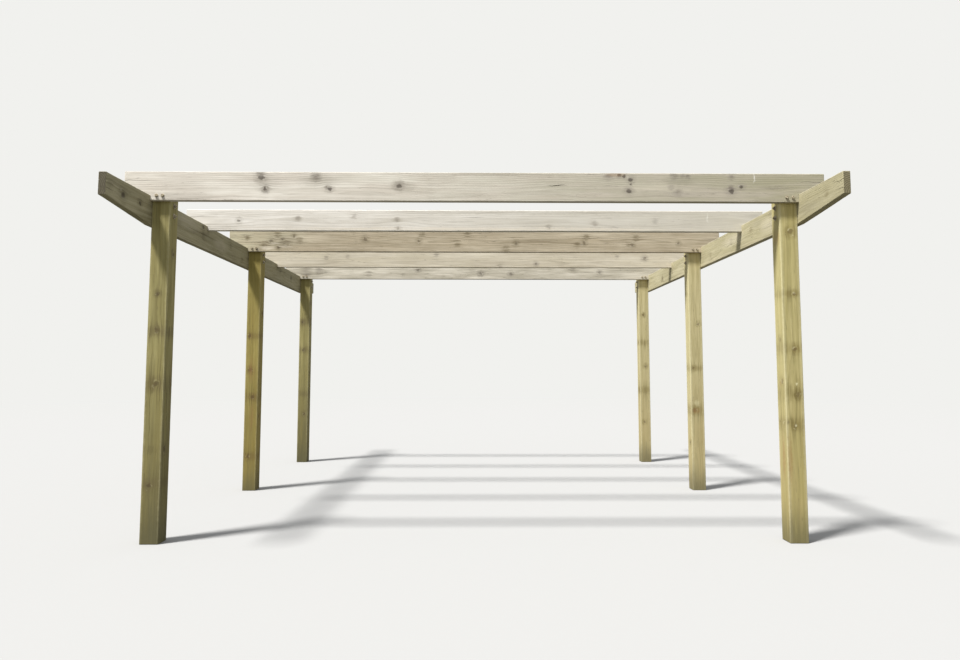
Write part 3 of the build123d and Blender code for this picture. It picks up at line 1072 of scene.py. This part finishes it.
def hexagon(name, width, low, high):
    """Hexagonal head or nut between two heights, its corners turned down by a cone."""
    height = high - low
    radius = width / math.sqrt(3)
    piece = drum(name, radius, low, high, 6, 0.0006)
    bpy.ops.object.select_all(action="DESELECT")
    foot_radius = radius * 1.45
    tip_radius = width * 0.43
    cone_height = height * 1.6
    middle = (0, 0, low + height * 0.8)
    bpy.ops.mesh.primitive_cone_add(
        vertices=32, radius1=foot_radius, radius2=tip_radius, depth=cone_height, location=middle
    )
    cone = bpy.context.object
    slope = (foot_radius - tip_radius) / cone_height
    top_radius = foot_radius - slope * height
    cone.scale.x = cone.scale.y = width * 0.5 / top_radius
    combine(piece, settle("cone"), "INTERSECT")
    return piece


def cup_head():
    """Low dome of a cup-headed bolt."""
    bpy.ops.object.select_all(action="DESELECT")
    sphere = (BOLT_HEAD_RADIUS**2 + BOLT_HEAD_HEIGHT**2) / (2 * BOLT_HEAD_HEIGHT)
    bpy.ops.mesh.primitive_uv_sphere_add(
        segments=32, ring_count=36, radius=sphere, location=(0, 0, BOLT_HEAD_HEIGHT - sphere)
    )
    head = settle("cup_head")
    saw(head, (0, 0, 0), (0, 0, -1))
    round_edges(head, 0.0008, 2, 30)
    return head


def model_bolt():
    """Cup-headed bolt with its washer, nut and threaded tail."""
    nut_top = -BOLT_GRIP - BOLT_WASHER_THICKNESS
    end = nut_top - NUT_HEIGHT - BOLT_TAIL
    thread_start = -BOLT_GRIP + THREAD_IN_GRIP
    parts = [
        cup_head(),
        drum("shank", BOLT_RADIUS, thread_start, 0.001, 24, 0.0002),
        threaded_rod("thread", BOLT_RADIUS, end, thread_start, THREAD_PITCH),
        drum("washer", BOLT_WASHER_RADIUS, nut_top, -BOLT_GRIP, 40, 0.0006),
        hexagon("nut", NUT_WIDTH, nut_top - NUT_HEIGHT, nut_top),
    ]
    return join(parts, "bolt")


def model_screw():
    """Coach screw with its washer and hexagonal head."""
    seat = SCREW_WASHER_THICKNESS
    parts = [
        drum("shank", SCREW_RADIUS, -SCREW_SHANK, seat + 0.001, 20, 0.0002),
        drum("washer", SCREW_WASHER_RADIUS, 0, seat, 32, 0.0005),
        hexagon("head", SCREW_HEAD_WIDTH, seat, seat + SCREW_HEAD_HEIGHT),
    ]
    return join(parts, "screw")


def place_fixings(model, seats, out, draw, name, node_name, steel):
    """Copies a bolt or screw to its seats on a post, as one piece that stands for their CAD node.

    Every copy has its own mesh, stands out from its seat and is turned at random.
    """
    lean = Vector((0, 0, 1)).rotation_difference(Vector(out)).to_matrix().to_4x4()
    copies = []
    for seat in seats:
        made = model.copy()
        made.data = model.data.copy()
        bpy.context.collection.objects.link(made)
        turn = Matrix.Rotation(draw.uniform(0, 3), 4, "Z")
        made.matrix_world = Matrix.Translation(seat) @ lean @ turn
        only(made)
        bpy.ops.object.transform_apply()
        copies.append(made)
    piece = join(copies, name)
    finish_mesh(piece)
    put_in_place(piece, node_name, steel)


def make_fixings(steel):
    """Two bolts and two coach screws at every post."""
    bolt = model_bolt()
    screw = model_screw()
    draw = random.Random(7)
    for row, y in ROWS.items():
        front = y - POST_SIZE / 2 + CHECK_DEPTH - CROSSBEAM_THICKNESS
        for side_name, side in SIDES.items():
            post = f"{row}_{side_name}"
            seats = [(side * BEAM_OUTER_X, y, z) for z in BOLT_HEIGHTS]
            names = (f"{post}_bolts", f"{post}_beam_bolts")
            place_fixings(bolt, seats, (side, 0, 0), draw, *names, steel)
            seats = [(side * POST_X + shift, front, SCREW_HEIGHT) for shift in SCREW_SHIFTS]
            names = (f"{post}_coach_screws", f"{post}_crossbeam_screws")
            place_fixings(screw, seats, (0, -1, 0), draw, *names, steel)
    bpy.data.objects.remove(bolt, do_unlink=True)
    bpy.data.objects.remove(screw, do_unlink=True)


# Stage, light and camera


def make_floor():
    """Plain pale floor that keeps the shadow and fades into the background far away."""
    bpy.ops.object.select_all(action="DESELECT")
    bpy.ops.mesh.primitive_plane_add(size=FLOOR_SIZE, location=(0, 0, 0))
    floor = bpy.context.object
    floor.name = "studio_floor"
    material = empty_material("pale_floor")
    tree = material.node_tree
    place = node(tree, "TexCoord", output="Object")
    away = node(tree, "VectorMath LENGTH", (place,), "Value")
    far = node(tree, "MapRange", (away, FADE_FROM, FADE_TO), interpolation_type="SMOOTHSTEP")
    seen = node(tree, "LightPath", output="Is Camera Ray")
    fade = node(tree, "Math MULTIPLY", (far, seen))
    shade = paint_over(tree, rgb(FLOOR_BOUNCE), [(seen, rgb(FLOOR_SEEN))])
    paint = node(tree, "BsdfDiffuse", {"Color": shade, "Roughness": 0.0})
    glow = node(tree, "Emission", {"Color": rgb(BACKGROUND), "Strength": 1.0})
    mixed = node(tree, "MixShader", (fade, paint, glow))
    node(tree, "OutputMaterial", (mixed,), None)
    floor.data.materials.append(material)


def make_world():
    """Soft even light all round, with a pale background for the camera and for gloss."""
    world = bpy.data.worlds.new("studio")
    bpy.context.scene.world = world
    world.use_nodes = True
    tree = world.node_tree
    tree.nodes.clear()
    rays = node(tree, "LightPath", output=None).outputs
    plain = node(tree, "Math MAXIMUM", (rays["Is Camera Ray"], rays["Is Glossy Ray"]))
    light = node(tree, "Background", {"Color": SKY_COLOUR, "Strength": SKY_STRENGTH})
    shown = node(tree, "Background", {"Color": rgb(BACKGROUND), "Strength": 1.0})
    mixed = node(tree, "MixShader", (plain, light, shown))
    node(tree, "OutputWorld", (mixed,), None)


def make_key_light():
    """Broad soft light from high on the left, in front, even over the whole pergola."""
    data = bpy.data.lights.new("key", "SUN")
    data.energy = KEY_STRENGTH
    data.angle = KEY_SPREAD
    data.color = KEY_COLOUR
    lamp = bpy.data.objects.new("key", data)
    bpy.context.collection.objects.link(lamp)
    lamp.location = (-5, -5, 8)
    lamp.rotation_euler = KEY_WAY.to_track_quat("-Z", "Y").to_euler()


def make_camera():
    """Camera where the photograph's stood: 1.15 m above the posts' feet, 4.7 m from the front row."""
    data = bpy.data.cameras.new("camera")
    data.sensor_width = 36.0
    data.lens = CAMERA_LENS
    data.shift_y = CAMERA_SHIFT
    data.clip_start = 0.05
    data.clip_end = 300
    camera = bpy.data.objects.new("camera", data)
    bpy.context.collection.objects.link(camera)
    camera.location = CAMERA_PLACE
    camera.rotation_euler = (math.pi / 2 + CAMERA_TILT, CAMERA_ROLL, CAMERA_TURN)
    bpy.context.scene.camera = camera


# The work itself

for timbers, make in ((CROSSBEAMS, make_crossbeam), (SIDE_BEAMS, make_side_beam), (POSTS, make_post)):
    for number, (name, spec) in enumerate(timbers.items()):
        make(name, spec, number)
make_fixings(galvanised_steel())

make_floor()
make_world()
make_key_light()
make_camera()
bpy.context.scene.view_settings.view_transform = "Standard"
